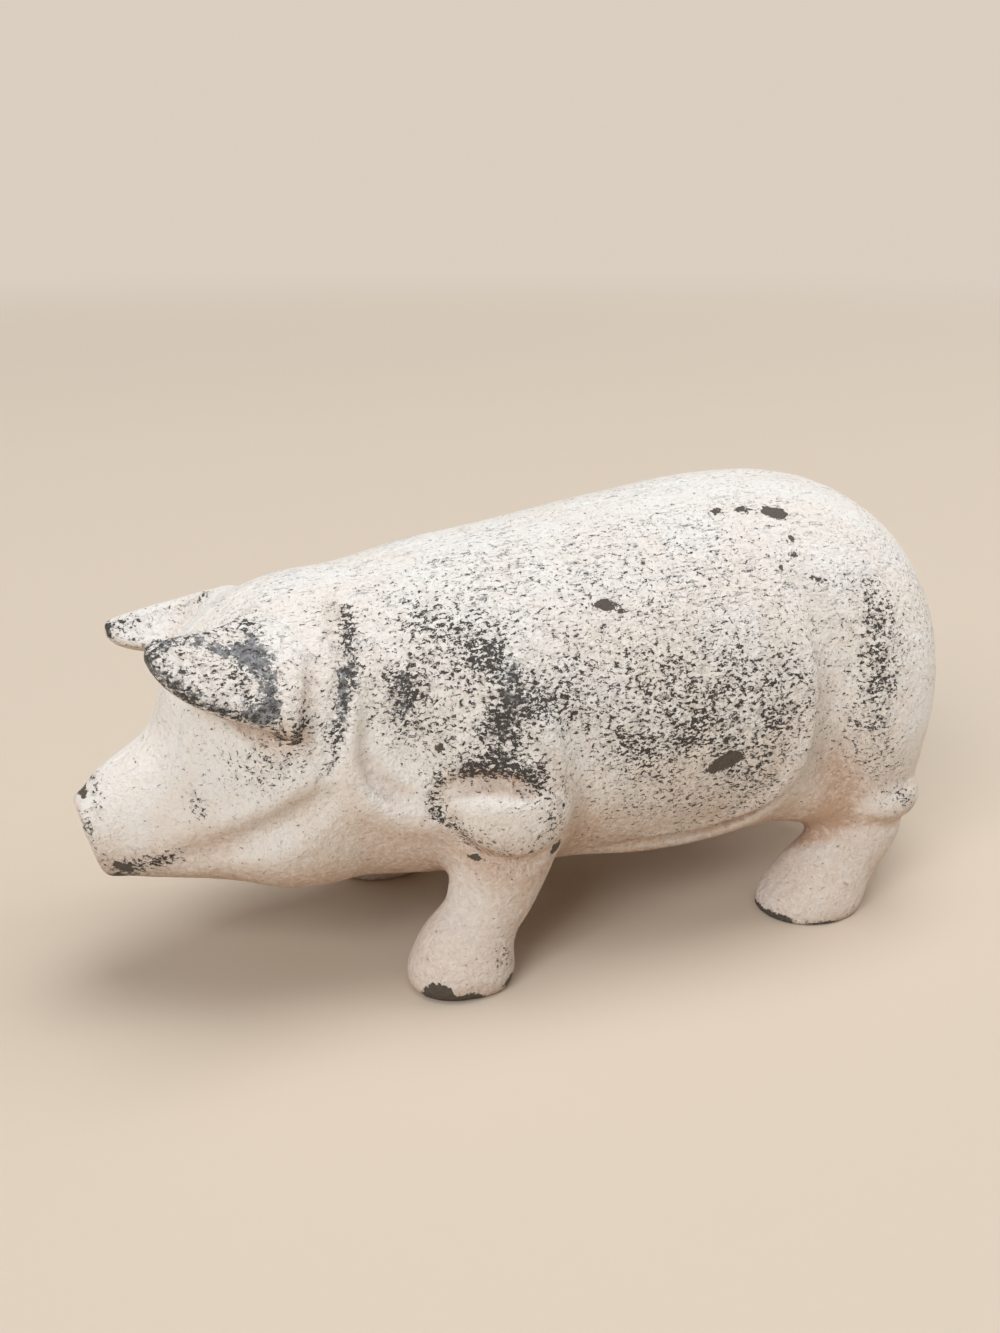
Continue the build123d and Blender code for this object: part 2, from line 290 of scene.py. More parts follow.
# Folds: rows of x, out from the middle, height, width and how far each rises (or sinks, below zero)
FOLDS = (
    # mouth line between the cheek and the lower jaw, and the cheek above it
    ((-54.0, 8.4, 18.6, 1.4, -0.1), (-49.5, 11.4, 20.4, 1.9, -1.3), (-44.0, 15.0, 23.0, 2.1, -1.8),
     (-38.5, 17.2, 26.2, 2.1, -1.6), (-33.5, 18.2, 29.6, 1.8, -0.3)),
    ((-52.0, 9.6, 24.0, 2.5, 0.0), (-46.0, 13.8, 27.0, 2.8, 0.8), (-39.0, 17.0, 30.6, 2.8, 0.9),
     (-34.0, 17.8, 33.5, 2.0, 0.1)),
    # crease between head and neck, the fold of neck behind it, and the hollow behind the fold
    ((-29.8, 6.0, 51.2, 1.0, -0.1), (-30.4, 11.5, 48.6, 1.2, -1.0), (-30.6, 15.6, 43.6, 1.2, -1.1),
     (-32.2, 17.6, 39.6, 1.2, -1.2), (-33.4, 18.6, 34.6, 1.2, -1.0), (-34.6, 18.6, 31.0, 1.2, -0.1)),
    ((-29.4, 15.6, 43.4, 1.1, 0.1), (-30.4, 17.2, 38.6, 1.6, 0.8), (-31.4, 18.1, 34.4, 1.9, 1.0),
     (-30.8, 18.5, 31.0, 2.2, 1.1), (-28.3, 18.5, 26.8, 2.6, 1.3), (-23.8, 18.8, 24.2, 2.8, 1.1),
     (-19.0, 20.3, 23.4, 2.2, 0.2)),
    ((-28.4, 16.0, 42.6, 1.4, -0.1), (-28.6, 17.4, 37.4, 1.8, -1.0), (-28.9, 17.8, 33.4, 1.7, -1.3),
     (-27.6, 18.0, 30.0, 1.7, -1.3), (-25.0, 18.4, 28.0, 1.7, -1.1), (-22.0, 19.4, 27.2, 1.4, -0.2)),
    ((-26.4, 17.0, 42.0, 2.2, -0.1), (-25.6, 18.8, 36.6, 3.0, -1.1), (-24.0, 19.4, 32.4, 2.8, -1.0),
     (-21.6, 20.6, 29.8, 1.8, -0.1)),
    # crease behind the shoulder and elbow, soft at first and sharp beside the elbow
    ((-8.6, 22.0, 44.0, 2.0, -0.2), (-4.6, 24.0, 36.0, 2.4, -1.1), (-2.2, 24.6, 29.0, 2.2, -1.4),
     (-2.8, 24.2, 22.6, 1.8, -1.2), (-5.6, 23.6, 18.4, 1.2, -0.4)),
    ((-4.6, 24.2, 36.0, 1.3, -0.3), (-2.2, 24.2, 31.6, 1.4, -1.3), (-0.9, 24.0, 26.5, 1.4, -1.6),
     (-0.9, 23.4, 22.0, 1.3, -1.5), (-2.6, 22.4, 18.2, 1.0, -0.6)),
    # ridge from the elbow up to the shoulder, and the hollow before it
    ((-12.6, 21.2, 42.0, 1.7, 0.1), (-9.8, 22.8, 38.5, 1.8, 0.6), (-7.0, 24.2, 34.6, 1.8, 0.8),
     (-5.4, 24.6, 31.0, 1.5, 0.4)),
    ((-15.6, 20.6, 41.0, 2.2, -0.2), (-13.4, 22.6, 37.2, 2.2, -0.7), (-12.0, 24.0, 33.6, 1.9, -0.6)),
    # crease under the elbow
    ((-18.2, 21.8, 22.2, 1.0, -0.2), (-15.6, 23.2, 19.8, 1.1, -0.8), (-12.0, 24.0, 18.4, 1.1, -1.1),
     (-8.0, 24.0, 18.6, 1.1, -1.2), (-4.6, 23.6, 20.4, 1.0, -0.8)),
    # dent over the elbow and the lens of skin below it
    ((-20.8, 20.2, 26.0, 0.9, -0.7), (-20.0, 20.8, 28.6, 1.1, -1.2), (-17.2, 22.2, 30.0, 1.3, -1.3),
     (-13.8, 23.8, 30.1, 1.3, -1.3), (-10.8, 24.8, 29.0, 1.1, -0.8), (-9.2, 25.2, 27.4, 0.8, -0.1)),
    ((-19.4, 21.0, 26.6, 1.3, 0.4), (-16.4, 23.2, 27.3, 1.5, 0.8), (-12.6, 25.2, 26.9, 1.3, 0.4)),
    # brow, and the soft hollow of the eye behind it
    ((-48.2, 7.0, 40.2, 1.5, 0.1), (-48.8, 9.0, 36.8, 1.6, 0.6), (-49.8, 9.8, 33.4, 1.6, 0.6),
     (-51.4, 9.6, 30.4, 1.5, 0.1)),
    ((-45.8, 11.2, 38.6, 1.8, -0.2), (-46.2, 12.0, 35.8, 2.0, -0.7), (-46.0, 13.0, 33.0, 2.0, -0.6),
     (-42.5, 15.2, 33.6, 2.0, -0.2)),
    # valley before the ham, down to the groin, and the flank's edge beside it
    ((27.6, 20.0, 53.0, 2.4, -0.2), (31.2, 23.0, 46.0, 3.0, -1.6), (33.0, 25.0, 39.5, 3.1, -2.4),
     (33.6, 25.4, 33.0, 3.2, -2.7), (34.6, 25.0, 27.0, 3.8, -2.9), (37.0, 24.4, 21.4, 3.6, -2.5),
     (40.0, 24.0, 17.0, 1.5, -0.3)),
    ((26.4, 21.6, 48.0, 1.8, 0.2), (29.0, 24.8, 40.5, 1.8, 1.0), (29.6, 25.6, 33.5, 1.7, 1.1),
     (29.0, 24.8, 27.2, 1.6, 1.1), (26.0, 22.4, 21.2, 1.5, 0.9), (20.0, 19.8, 17.4, 1.3, 0.5),
     (10.0, 18.6, 16.2, 1.2, 0.3)),
    # line under the flank and the roll of belly below it
    ((28.6, 22.8, 24.0, 0.9, -0.2), (25.4, 20.6, 19.0, 1.1, -0.9), (20.0, 18.2, 15.8, 1.2, -0.9),
     (10.0, 17.0, 14.6, 1.2, -0.7), (2.0, 16.2, 14.2, 1.0, -0.2)),
    ((29.4, 21.0, 21.6, 1.3, 0.4), (25.6, 18.8, 16.6, 1.5, 1.0), (20.0, 16.4, 13.6, 1.5, 1.0),
     (10.0, 15.2, 12.6, 1.5, 0.8), (2.0, 14.4, 12.4, 1.2, 0.2)),
    # crease under the hock
    ((40.2, 24.0, 14.4, 1.0, -0.3), (43.0, 24.4, 13.4, 1.1, -1.0), (46.6, 24.2, 12.9, 1.0, -1.0),
     (49.8, 21.6, 12.9, 0.9, -0.5)),
)

# Ears: root and tip on the left, the leaf's reach below and above its middle line at shares of
# its length, and how the right one differs
EAR_ROOT = np.array((-36.2, 13.2, 45.0))
EAR_TIP = np.array((-53.2, 11.2, 48.4))
EAR_SLOPE = math.radians(40)
EAR_BELOW = ((0.0, 0.37, 0.65, 0.84, 0.944, 1.0), (8.4, 7.6, 6.4, 4.7, 3.0, 1.7))
EAR_ABOVE = ((0.0, 0.31, 0.476, 0.67, 0.886, 1.0), (8.0, 7.2, 4.4, 2.6, 0.8, -0.2))
RIGHT_EAR_DROOP = 4.1
RIGHT_EAR_REACH = 1.9

# Ears' section: thickness, how fast it grows past the lower edge and up to what width, the radius of the
# round edge and of the bow, and how far the middle line lies below the leaf's top
EAR_THICKNESS = 2.7
EAR_WEDGE = 0.5
EAR_WEDGE_WIDTH = 17
EAR_EDGE = 1.1
EAR_BOW = 15.0
EAR_LIFT = 0.5

# Ears' root end: how far it goes past the root as a share of the length, and how it slants back above
EAR_ROOT_SHARE = 0.04
EAR_ROOT_SLANT = 0.045
EAR_SLANT_START = 1

# How steeply the leaf's sides and under face count as distances, as they lean
EAR_SIDE_STEEPNESS = 0.85
EAR_UNDER_STEEPNESS = 0.9


def ear(p, droop, reach):
    """Bowed leaf, thin along its lower edge and thicker towards its upper one, with round edges."""
    along = EAR_TIP + (-reach, 0, -droop) - EAR_ROOT
    length = np.linalg.norm(along)
    along = along / length
    normal = np.array((0, math.sin(EAR_SLOPE), math.cos(EAR_SLOPE)))
    normal = normal - along * (along @ normal)
    normal = normal / np.linalg.norm(normal)
    across = np.cross(normal, along)
    away = [c - r for c, r in zip(p, EAR_ROOT)]
    share = sum(a * b for a, b in zip(away, along)) / length
    side = sum(a * b for a, b in zip(away, across))
    depth = sum(a * b for a, b in zip(away, normal)) + side**2 / (2 * EAR_BOW) - EAR_LIFT
    below = smooth_line(share, *EAR_BELOW)
    above = smooth_line(share, *EAR_ABOVE)
    root_end = -share - EAR_ROOT_SHARE + EAR_ROOT_SLANT * np.maximum(side - EAR_SLANT_START, 0)
    ends = np.maximum((share - 1) * length, root_end * length)
    sides = np.maximum(side - above, -below - side) * EAR_SIDE_STEEPNESS
    edge = np.maximum(sides, ends) + EAR_EDGE
    under = -depth - EAR_THICKNESS / 2 - EAR_WEDGE * np.clip(side + below, 0, EAR_WEDGE_WIDTH)
    face = np.maximum(depth - EAR_THICKNESS / 2, under * EAR_UNDER_STEEPNESS) + EAR_EDGE
    outside = np.hypot(np.maximum(edge, 0), np.maximum(face, 0))
    return outside + np.minimum(np.maximum(edge, face), 0) - EAR_EDGE


def growing(at, least, growth, start, length):
    """Fillet width that is least up to a start and grows evenly over a length past it."""
    return least + growth * np.clip((at - start) / length, 0, 1)


def pig(x, y, z):
    """Distance from the pig's skin: body, head, legs and ears joined with fillets, less its folds."""
    p = (x, np.abs(y), z)
    skin = join(barrel(p, **TRUNK), egg(p, *HEAD), BODY_FILLET)
    disc = -(x - DISC_PLACE[0]) * math.cos(DISC_LEAN) - (z - DISC_PLACE[1]) * math.sin(DISC_LEAN)
    skin = join(skin, trim(barrel(p, **SNOUT), disc, DISC_FILLET), BODY_FILLET)
    skin = trim(skin, -egg(p, *NOSTRIL), FINE_FILLET)
    for bulge in (JOWL, SHOULDER, HAM):
        skin = join(skin, egg(p, *bulge), BODY_FILLET)
    front = join(limb(p, FRONT_LEG), egg(p, *FRONT_HOOF), HOOF_FILLET)
    front = join(front, egg(p, *FRONT_HEEL), HEEL_FILLET)
    hind = join(limb(p, HIND_LEG), egg(p, *HIND_HOOF), HOOF_FILLET)
    skin = join(skin, front, LEG_FILLET)
    skin = join(skin, egg(p, *ELBOW), growing(z, *ELBOW_FILLET))
    skin = join(skin, hind, LEG_FILLET)
    skin = join(skin, egg(p, *HOCK), HOCK_FILLET)
    for fold in FOLDS:
        skin = skin - stroke(p, fold)
    skin = join(skin, limb(p, TAIL), TAIL_FILLET)
    for here, droop, reach in ((y < 0, 0.0, 0.0), (y >= 0, RIGHT_EAR_DROOP, RIGHT_EAR_REACH)):
        if here.any():
            near = [c[here] for c in p]
            skin[here] = join(skin[here], ear(near, droop, reach), growing(near[0], *EAR_FILLET))
    round_screw = np.hypot(x - SCREW_X, z - SCREW_Z) - HEAD_RADIUS - RECESS_CLEARANCE
    recess = np.maximum(round_screw, SCREW_TOP - RECESS_DEPTH - y)
    skin = trim(skin, -recess, FINE_FILLET)
    return trim(skin, -z, SOLE_FILLET)


# Wear and painted shade: rows of x, out from the middle, height, width and how much of the wear or shade lies
# there

# Iron showing through in flecks
FLECKED = (
    # flank, and lightly below and above it
    ((-1.0, 22.3, 41.0, 7, 0.42), (8.0, 23.5, 37.0, 10, 0.64), (16.0, 24.6, 36.0, 11, 0.7),
     (25.0, 25.3, 36.0, 9, 0.6)),
    ((4.0, 24.0, 31.0, 6, 0.3), (15.0, 24.6, 28.0, 6, 0.3), (25.0, 25.0, 27.0, 6, 0.3)),
    ((-26.0, 12.0, 48.0, 7, 0.16), (-10.0, 14.0, 51.0, 8, 0.26), (8.0, 15.0, 53.0, 8, 0.3),
     (26.0, 17.0, 52.0, 7, 0.22)),
    # band down the ham
    ((36.6, 20.6, 50.0, 2.4, 0.4), (39.8, 21.8, 47.6, 3.2, 0.55), (40.3, 24.3, 42.0, 4.0, 0.72),
     (40.0, 25.7, 35.5, 3.8, 0.7), (39.6, 25.4, 28.3, 4.0, 0.55), (43.0, 25.5, 24.0, 4.6, 0.4)),
    # shoulder
    ((-24.4, 17.3, 42.5, 3.8, 0.6), (-23.6, 18.5, 37.6, 3.6, 0.65), (-20.4, 20.2, 34.6, 3.0, 0.5)),
    ((-12.4, 19.0, 46.0, 3.4, 0.45), (-11.3, 22.0, 41.3, 3.2, 0.65), (-13.2, 23.6, 35.6, 3.6, 0.65),
     (-15.4, 23.1, 32.4, 3.2, 0.6)),
    ((-20.0, 15.0, 49.0, 5, 0.35), (-16.0, 18.0, 46.0, 5, 0.45), (-19.0, 19.5, 41.0, 5, 0.4),
     (-6.0, 23.0, 38.0, 4, 0.45)),
    # round the lens over the elbow, and on the elbow
    ((-9.6, 24.8, 29.6, 1.5, 0.6), (-12.8, 24.2, 31.4, 1.5, 0.8), (-17.3, 22.3, 31.4, 1.3, 0.9),
     (-20.6, 20.3, 29.6, 1.3, 0.95),
     (-20.6, 20.0, 26.6, 1.2, 0.9), (-18.4, 21.4, 24.4, 1.3, 0.75), (-15.4, 23.2, 23.4, 1.4, 0.55),
     (-12.0, 24.4, 23.2, 1.5, 0.35)),
    ((-8.6, 25.0, 31.0, 2.6, 0.5), (-8.4, 25.2, 26.0, 2.6, 0.4)),
    ((-17.4, 22.0, 22.4, 1.8, 0.4), (-13.2, 24.4, 20.8, 2.0, 0.42), (-8.0, 25.2, 22.0, 2.4, 0.38),
     (-5.4, 25.0, 27.4, 2.0, 0.35)),
    # crease behind the head, cheek and snout
    ((-28.8, 9.0, 50.2, 1.2, 0.6), (-29.6, 14.2, 45.2, 1.4, 0.9), (-31.4, 16.3, 41.0, 1.5, 0.95),
     (-32.9, 17.9, 35.6, 1.1, 0.8), (-34.2, 18.4, 31.6, 0.8, 0.3)),
    ((-36.7, 16.7, 38.6, 3.2, 0.6), (-40.5, 16.6, 34.4, 3.2, 0.5), (-44.5, 14.2, 33.6, 2.6, 0.3)),
    ((-49.0, 11.3, 29.4, 1.2, 0.5), (-48.4, 12.2, 27.0, 1.2, 0.7)),
    ((-51.0, 9.4, 20.8, 1.2, 0.7), (-53.6, 8.0, 19.4, 1.5, 1.1), (-56.4, 6.4, 17.6, 2.0, 1.5),
     (-58.0, 3.6, 15.8, 2.0, 1.3)),
    ((-59.4, 1.0, 28.8, 0.9, 0.9), (-59.6, 3.2, 28.0, 0.9, 0.9), (-61.2, 4.6, 24.0, 0.8, 0.6),
     (-60.8, 4.8, 19.0, 1.2, 0.7)),
    ((-54.0, 6.6, 15.2, 1.4, 0.5), (-46.0, 9.6, 14.2, 1.6, 0.4), (-36.0, 10.6, 13.4, 1.8, 0.35)),
    # belly and low flank, hock, rump, tail and front hoof
    ((-3.0, 20.0, 17.0, 3.0, 0.25), (10.0, 19.4, 15.4, 3.0, 0.28), (24.0, 21.0, 18.4, 3.0, 0.25)),
    ((0.0, 23.4, 24.0, 3.4, 0.3), (12.0, 22.8, 21.0, 3.4, 0.32), (24.0, 23.6, 23.0, 3.4, 0.28)),
    ((46.6, 24.4, 18.4, 2.6, 0.5), (49.0, 22.6, 17.0, 2.4, 0.4)),
    ((52.0, 18.0, 42.0, 8.0, 0.2), (57.0, 9.0, 36.0, 7.0, 0.28)),
    ((58.6, 0.0, 50.0, 1.6, 0.5), (61.6, 0.0, 45.0, 1.4, 0.6), (62.4, 0.0, 38.0, 1.2, 0.45)),
    ((-12.4, 23.0, 5.0, 2.6, 0.4), (-12.6, 22.0, 2.0, 2.4, 0.5)),
    # parting line down the back of the front leg
    ((-4.6, 19.8, 17.4, 0.7, 0.6), (-6.7, 19.4, 12.6, 0.6, 0.6), (-9.0, 19.6, 8.6, 0.6, 0.7),
     (-10.4, 20.4, 5.0, 0.8, 0.8)),
)
LEFT_EAR_FLECKED = (
    ((-53.0, 12.4, 48.0, 2.4, 0.75), (-48.0, 15.0, 45.6, 3.4, 0.6), (-42.4, 16.6, 44.0, 3.6, 0.6)),
    ((-50.0, 10.5, 49.5, 2.0, 0.7), (-42.0, 10.5, 50.0, 3.0, 0.7)),
    ((-54.0, 13.0, 45.6, 0.9, 1.1), (-50.6, 15.8, 43.6, 0.9, 1.1), (-46.0, 17.8, 41.2, 0.9, 1.1),
     (-40.6, 19.0, 39.8, 1.2, 1.1)),
)
RIGHT_EAR_FLECKED = (
    ((-55.4, 11.6, 44.4, 1.6, 0.75), (-50.0, 9.0, 46.4, 1.2, 0.6), (-43.0, 7.6, 49.0, 1.2, 0.5)),
)

# Painted shade, warm brown, in the groin, behind the elbow and over the front leg
PAINTED_SHADE_STROKES = (
    ((34.0, 24.8, 29.0, 2.2, 0.3), (34.8, 24.2, 24.5, 3.2, 0.75), (37.0, 23.8, 19.6, 3.2, 0.85),
     (37.8, 20.0, 15.0, 3.0, 0.7)),
    ((-2.6, 23.4, 26.0, 1.6, 0.3), (-1.6, 22.6, 20.0, 2.6, 0.5), (-1.0, 19.0, 14.6, 3.0, 0.4)),
    ((-17.0, 20.6, 18.6, 2.4, 0.4), (-12.6, 22.8, 17.6, 2.8, 0.5), (-8.0, 22.4, 16.6, 2.6, 0.4)),
)

# Iron rubbed bare in soft grey patches: shoulder, neck, back, flank and ham
RUBBED = (
    ((-24.4, 17.3, 42.6, 2.8, 0.6), (-24.4, 17.9, 39.0, 2.6, 0.62)),
    ((-11.0, 20.6, 43.6, 2.4, 0.5), (-11.2, 22.2, 40.8, 2.8, 0.66), (-13.6, 23.4, 36.0, 2.0, 0.55)),
    ((-29.2, 12.6, 46.8, 1.0, 0.5), (-30.4, 15.4, 43.4, 1.4, 0.8), (-32.2, 17.0, 38.6, 1.1, 0.7)),
    ((-18.0, 4.0, 54.2, 3.0, 0.35), (-12.0, 8.0, 54.0, 3.4, 0.42), (-4.0, 7.2, 55.4, 3.0, 0.3)),
    ((11.6, 9.6, 57.0, 2.2, 0.35), (18.0, 10.4, 57.6, 2.2, 0.45)),
    ((30.0, 25.0, 41.6, 1.2, 0.4), (30.2, 25.2, 39.0, 1.2, 0.35)),
    ((40.6, 23.6, 43.8, 1.4, 0.45), (40.0, 25.4, 36.4, 1.4, 0.4)),
)
LEFT_EAR_RUBBED = (
    ((-54.2, 11.4, 47.6, 2.6, 0.95), (-52.0, 14.2, 46.2, 1.9, 0.75), (-48.6, 16.4, 43.6, 1.5, 0.7),
     (-44.6, 18.0, 41.4, 1.5, 0.75), (-41.0, 18.9, 40.6, 2.0, 0.85)),
    ((-50.6, 11.8, 49.2, 1.8, 0.7), (-46.0, 12.8, 48.6, 1.8, 0.62), (-42.4, 14.2, 47.2, 2.2, 0.7)),
    ((-40.6, 18.6, 42.0, 1.6, 0.75), (-40.2, 16.4, 45.0, 2.2, 0.78), (-41.0, 12.6, 48.4, 1.6, 0.6)),
)
RIGHT_EAR_RUBBED = (((-55.8, 11.8, 44.2, 0.9, 0.8), (-51.0, 9.4, 45.8, 0.6, 0.4)),)

# Chips down to the iron: the middle (x, out, height), radii and lean of each
LEFT_CHIPS = (
    ((17.2, 24.7, 28.2), (2.7, 2.0, 1.15), -24),
    ((30.1, 12.9, 57.8), (2.0, 2.0, 0.75), 14),
    ((26.0, 12.0, 58.2), (1.5, 1.6, 0.3), 0),
    ((22.4, 11.1, 58.1), (0.8, 1.6, 0.3), 0),
    ((2.5, 18.2, 49.4), (1.3, 1.6, 0.6), 8),
    ((4.4, 19.0, 48.7), (0.8, 1.4, 0.25), 0),
    ((30.5, 17.2, 55.0), (0.5, 1.2, 0.5), 30),
    ((29.7, 18.9, 53.4), (0.8, 1.2, 0.3), 0),
    ((27.5, 20.0, 52.1), (0.7, 1.2, 0.3), -12),
    ((32.1, 21.4, 50.4), (1.6, 1.4, 0.3), 18),
    ((-16.3, 21.6, 19.3), (0.9, 1.8, 0.4), 12),
    ((-5.4, 22.2, 18.9), (1.1, 1.8, 0.8), -30),
    ((-21.4, 21.2, 0.8), (1.9, 4.0, 2.2), 0),
    ((-18.0, 23.4, 0.2), (2.0, 2.6, 1.2), 0),
    ((-12.0, 22.6, 1.2), (1.2, 2.6, 0.9), 0),
    ((31.0, 18.0, 0.3), (2.2, 4.6, 1.1), 0),
    ((36.0, 23.6, 0.0), (2.6, 1.6, 0.5), 0),
    ((-57.5, 5.4, 18.2), (1.5, 1.6, 0.8), 30),
    ((-61.0, 0.8, 27.1), (0.6, 1.2, 0.6), 0),
    ((-58.2, 2.6, 15.8), (1.6, 1.8, 1.0), 0),
    ((-55.6, 6.6, 16.4), (0.9, 1.6, 0.4), 0),
    ((-20.4, 20.7, 34.5), (0.55, 1.4, 0.55), 0),
)
RIGHT_CHIPS = (
    ((7.0, 24.2, 36.0), (2.0, 2.0, 0.9), 20),
    ((-13.6, 16.4, 49.6), (1.6, 1.8, 0.6), -10),
    ((22.4, 14.6, 56.6), (1.2, 1.6, 0.4), 0),
    ((27.8, 18.8, 53.4), (0.9, 1.4, 0.4), 20),
    ((41.0, 26.0, 31.0), (1.0, 2.0, 1.7), 8),
    ((-22.4, 20.6, 0.5), (1.8, 3.0, 0.8), 0),
    ((-16.0, 23.0, 0.3), (1.6, 2.6, 0.6), 0),
    ((33.0, 20.0, 0.4), (2.4, 4.0, 0.9), 0),
    ((44.0, 22.0, 0.2), (1.4, 2.6, 0.6), 0),
    ((-8.4, 25.6, 24.6), (0.8, 1.4, 0.6), 0),
    ((-44.4, 18.4, 37.6), (1.3, 1.8, 0.7), -20),
    ((-58.0, 4.6, 17.4), (0.8, 1.4, 0.9), 20),
    ((-61.0, 1.6, 27.0), (0.8, 2.0, 0.8), 0),
)

# Drift of the wear: size of its waves, how far it shifts the wear on each side, and the half width of the
# band along the middle where the two meet
DRIFT_SIZE = 9.0
LEFT_DRIFT = 0.5
RIGHT_DRIFT = 3.2
DRIFT_BAND = 2
DRIFT_SEED = 17
DEEPEST_CHIP = 2


# From distances to skins


def read_field(field, places):
    """The field at rows of places, read in parts so that it needs little room."""
    parts = np.array_split(places, max(1, len(places) // 200000))
    return np.concatenate([field(*part.T) for part in parts])


def net(field, low, blocks, pitch):
    """Closed skin where a field is zero, as corners, four-sided faces and each corner's cube.

    The field is read at the corners of small cubes. A cube that the skin passes through gets one corner of
    the skin, at the mean of the places where the field changes sign along the cube's edges. An edge that
    changes sign gets one face, through the four cubes round it. Cubes far from the skin are read in blocks.
    """
    size = pitch * BLOCK
    middles = np.stack(np.meshgrid(*[np.arange(n) for n in blocks], indexing="ij"), -1).reshape(-1, 3)
    rough = read_field(field, low + (middles + 0.5) * size).reshape(blocks)
    full = rough
    for axis in range(3):
        full = np.repeat(full, BLOCK, axis)
    full = np.pad(full, ((0, 1),) * 3, mode="edge")
    close = np.argwhere(np.abs(full) < BAND)
    full[tuple(close.T)] = read_field(field, low + close * pitch)
    rings, spots = [], []
    for axis in range(3):
        one = full.take(np.arange(full.shape[axis] - 1), axis)
        other = full.take(np.arange(1, full.shape[axis]), axis)
        edges = np.argwhere((one < 0) != (other < 0))
        start, end = one[tuple(edges.T)], other[tuple(edges.T)]
        spot = edges.astype(float)
        spot[:, axis] += start / (start - end)
        ring = []
        for back in ((0, 0), (1, 0), (1, 1), (0, 1)):
            cube = edges.copy()
            cube[:, (axis + 1) % 3] -= back[0]
            cube[:, (axis + 2) % 3] -= back[1]
            ring.append(np.ravel_multi_index(tuple(cube.T), full.shape))
        ring = np.stack(ring, 1)
        ring[start > 0] = ring[start > 0, ::-1]
        rings.append(ring)
        spots.append(spot)
    rings, spots = np.concatenate(rings), np.concatenate(spots)
    cubes, faces = np.unique(rings, return_inverse=True)
    faces = faces.reshape(-1, 4)
    count = np.bincount(faces.ravel())
    corners = np.stack([np.bincount(faces.ravel(), np.repeat(spots[:, k], 4)) / count for k in range(3)], 1)
    return low + corners * pitch, faces, np.stack(np.unravel_index(cubes, full.shape), 1)


def slopes_of(field, corners, reach=0.05):
    """The field and its slope at each corner, from four readings a short reach apart."""
    here = read_field(field, corners)
    slope = np.stack([read_field(field, corners + reach * step) - here for step in np.eye(3)], 1) / reach
    return here, slope


def settle(field, corners, faces, pinned, rounds):
    """Corners evened out along the skin and put back on it: each round moves a corner halfway to the mean
    of its neighbours, then along the field's slope by the field's value over the slope. Pinned corners
    stay on the middle plane."""
    sides = np.concatenate([faces[:, [k, (k + 1) % 4]] for k in range(4)])
    count = np.bincount(sides[:, 0], minlength=len(corners))
    for turn in range(rounds):
        if turn:
            ends = corners[sides[:, 1]]
            sums = np.stack([np.bincount(sides[:, 0], ends[:, k], len(corners)) for k in range(3)], 1)
            corners = corners * 0.5 + sums / count[:, None] * 0.5
            corners[pinned, 1] = 0
        here, slope = slopes_of(field, corners)
        slope[pinned, 1] = 0
        move = here[:, None] * slope / np.maximum((slope**2).sum(1), LEAST_STEEPNESS)[:, None]
        corners = corners - np.clip(move, -PITCH, PITCH)
        corners[pinned, 1] = 0
    return corners


LATTICE = 64
LATTICE_START = 640.5


def waves(places, size, seed):
    """Smooth random lumps from -1 to 1: random values on a lattice, eased between its points."""
    table = np.random.RandomState(seed).uniform(-1, 1, (LATTICE,) * 3)
    at = places / size + LATTICE_START
    cell = np.floor(at).astype(int)
    share = at - cell
    share = share * share * (3 - 2 * share)
    height = 0
    for step in np.ndindex(2, 2, 2):
        weight = np.prod(np.where(step, share, 1 - share), axis=1)
        height = height + weight * table[tuple(((cell + step) % LATTICE).T)]
    return height


def shell(name, corners, faces, maps):
    """Mesh object of one cast half: its skin, closed by a flat cap on the middle plane."""
    used, faces = np.unique(faces, return_inverse=True)
    faces = faces.reshape(-1, 4)
    mesh = bpy.data.meshes.new(name)
    mesh.from_pydata((corners[used] * METRES).tolist(), [], faces.tolist())
    for key, values in maps.items():
        mesh.attributes.new(key, "FLOAT", "POINT").data.foreach_set("value", values[used].astype(np.float32))
    mesh.shade_smooth()
    work = bmesh.new()
    work.from_mesh(mesh)
    rim = [edge for edge in work.edges if edge.is_boundary]
    for edge in rim:
        edge.smooth = False
    made = bmesh.ops.holes_fill(work, edges=rim, sides=0)
    for face in made["faces"]:
        face.smooth = False
    work.to_mesh(mesh)
    work.free()
    piece = bpy.data.objects.new(name, mesh)
    bpy.context.scene.collection.objects.link(piece)
    return piece


# Wear and painted shade laid on the skin


def laid(p, strokes):
    """How much of one kind of wear or painted shade lies at each point: the sum of its strokes, at most one.
    """
    return np.clip(sum(stroke(p, rows) for rows in strokes), 0, 1)


def chipped(p, chips):
    """How deep each point lies inside the nearest chip, below zero outside them all."""
    return np.max([-egg(p, middle, radii, lean) for middle, radii, lean in chips], axis=0)


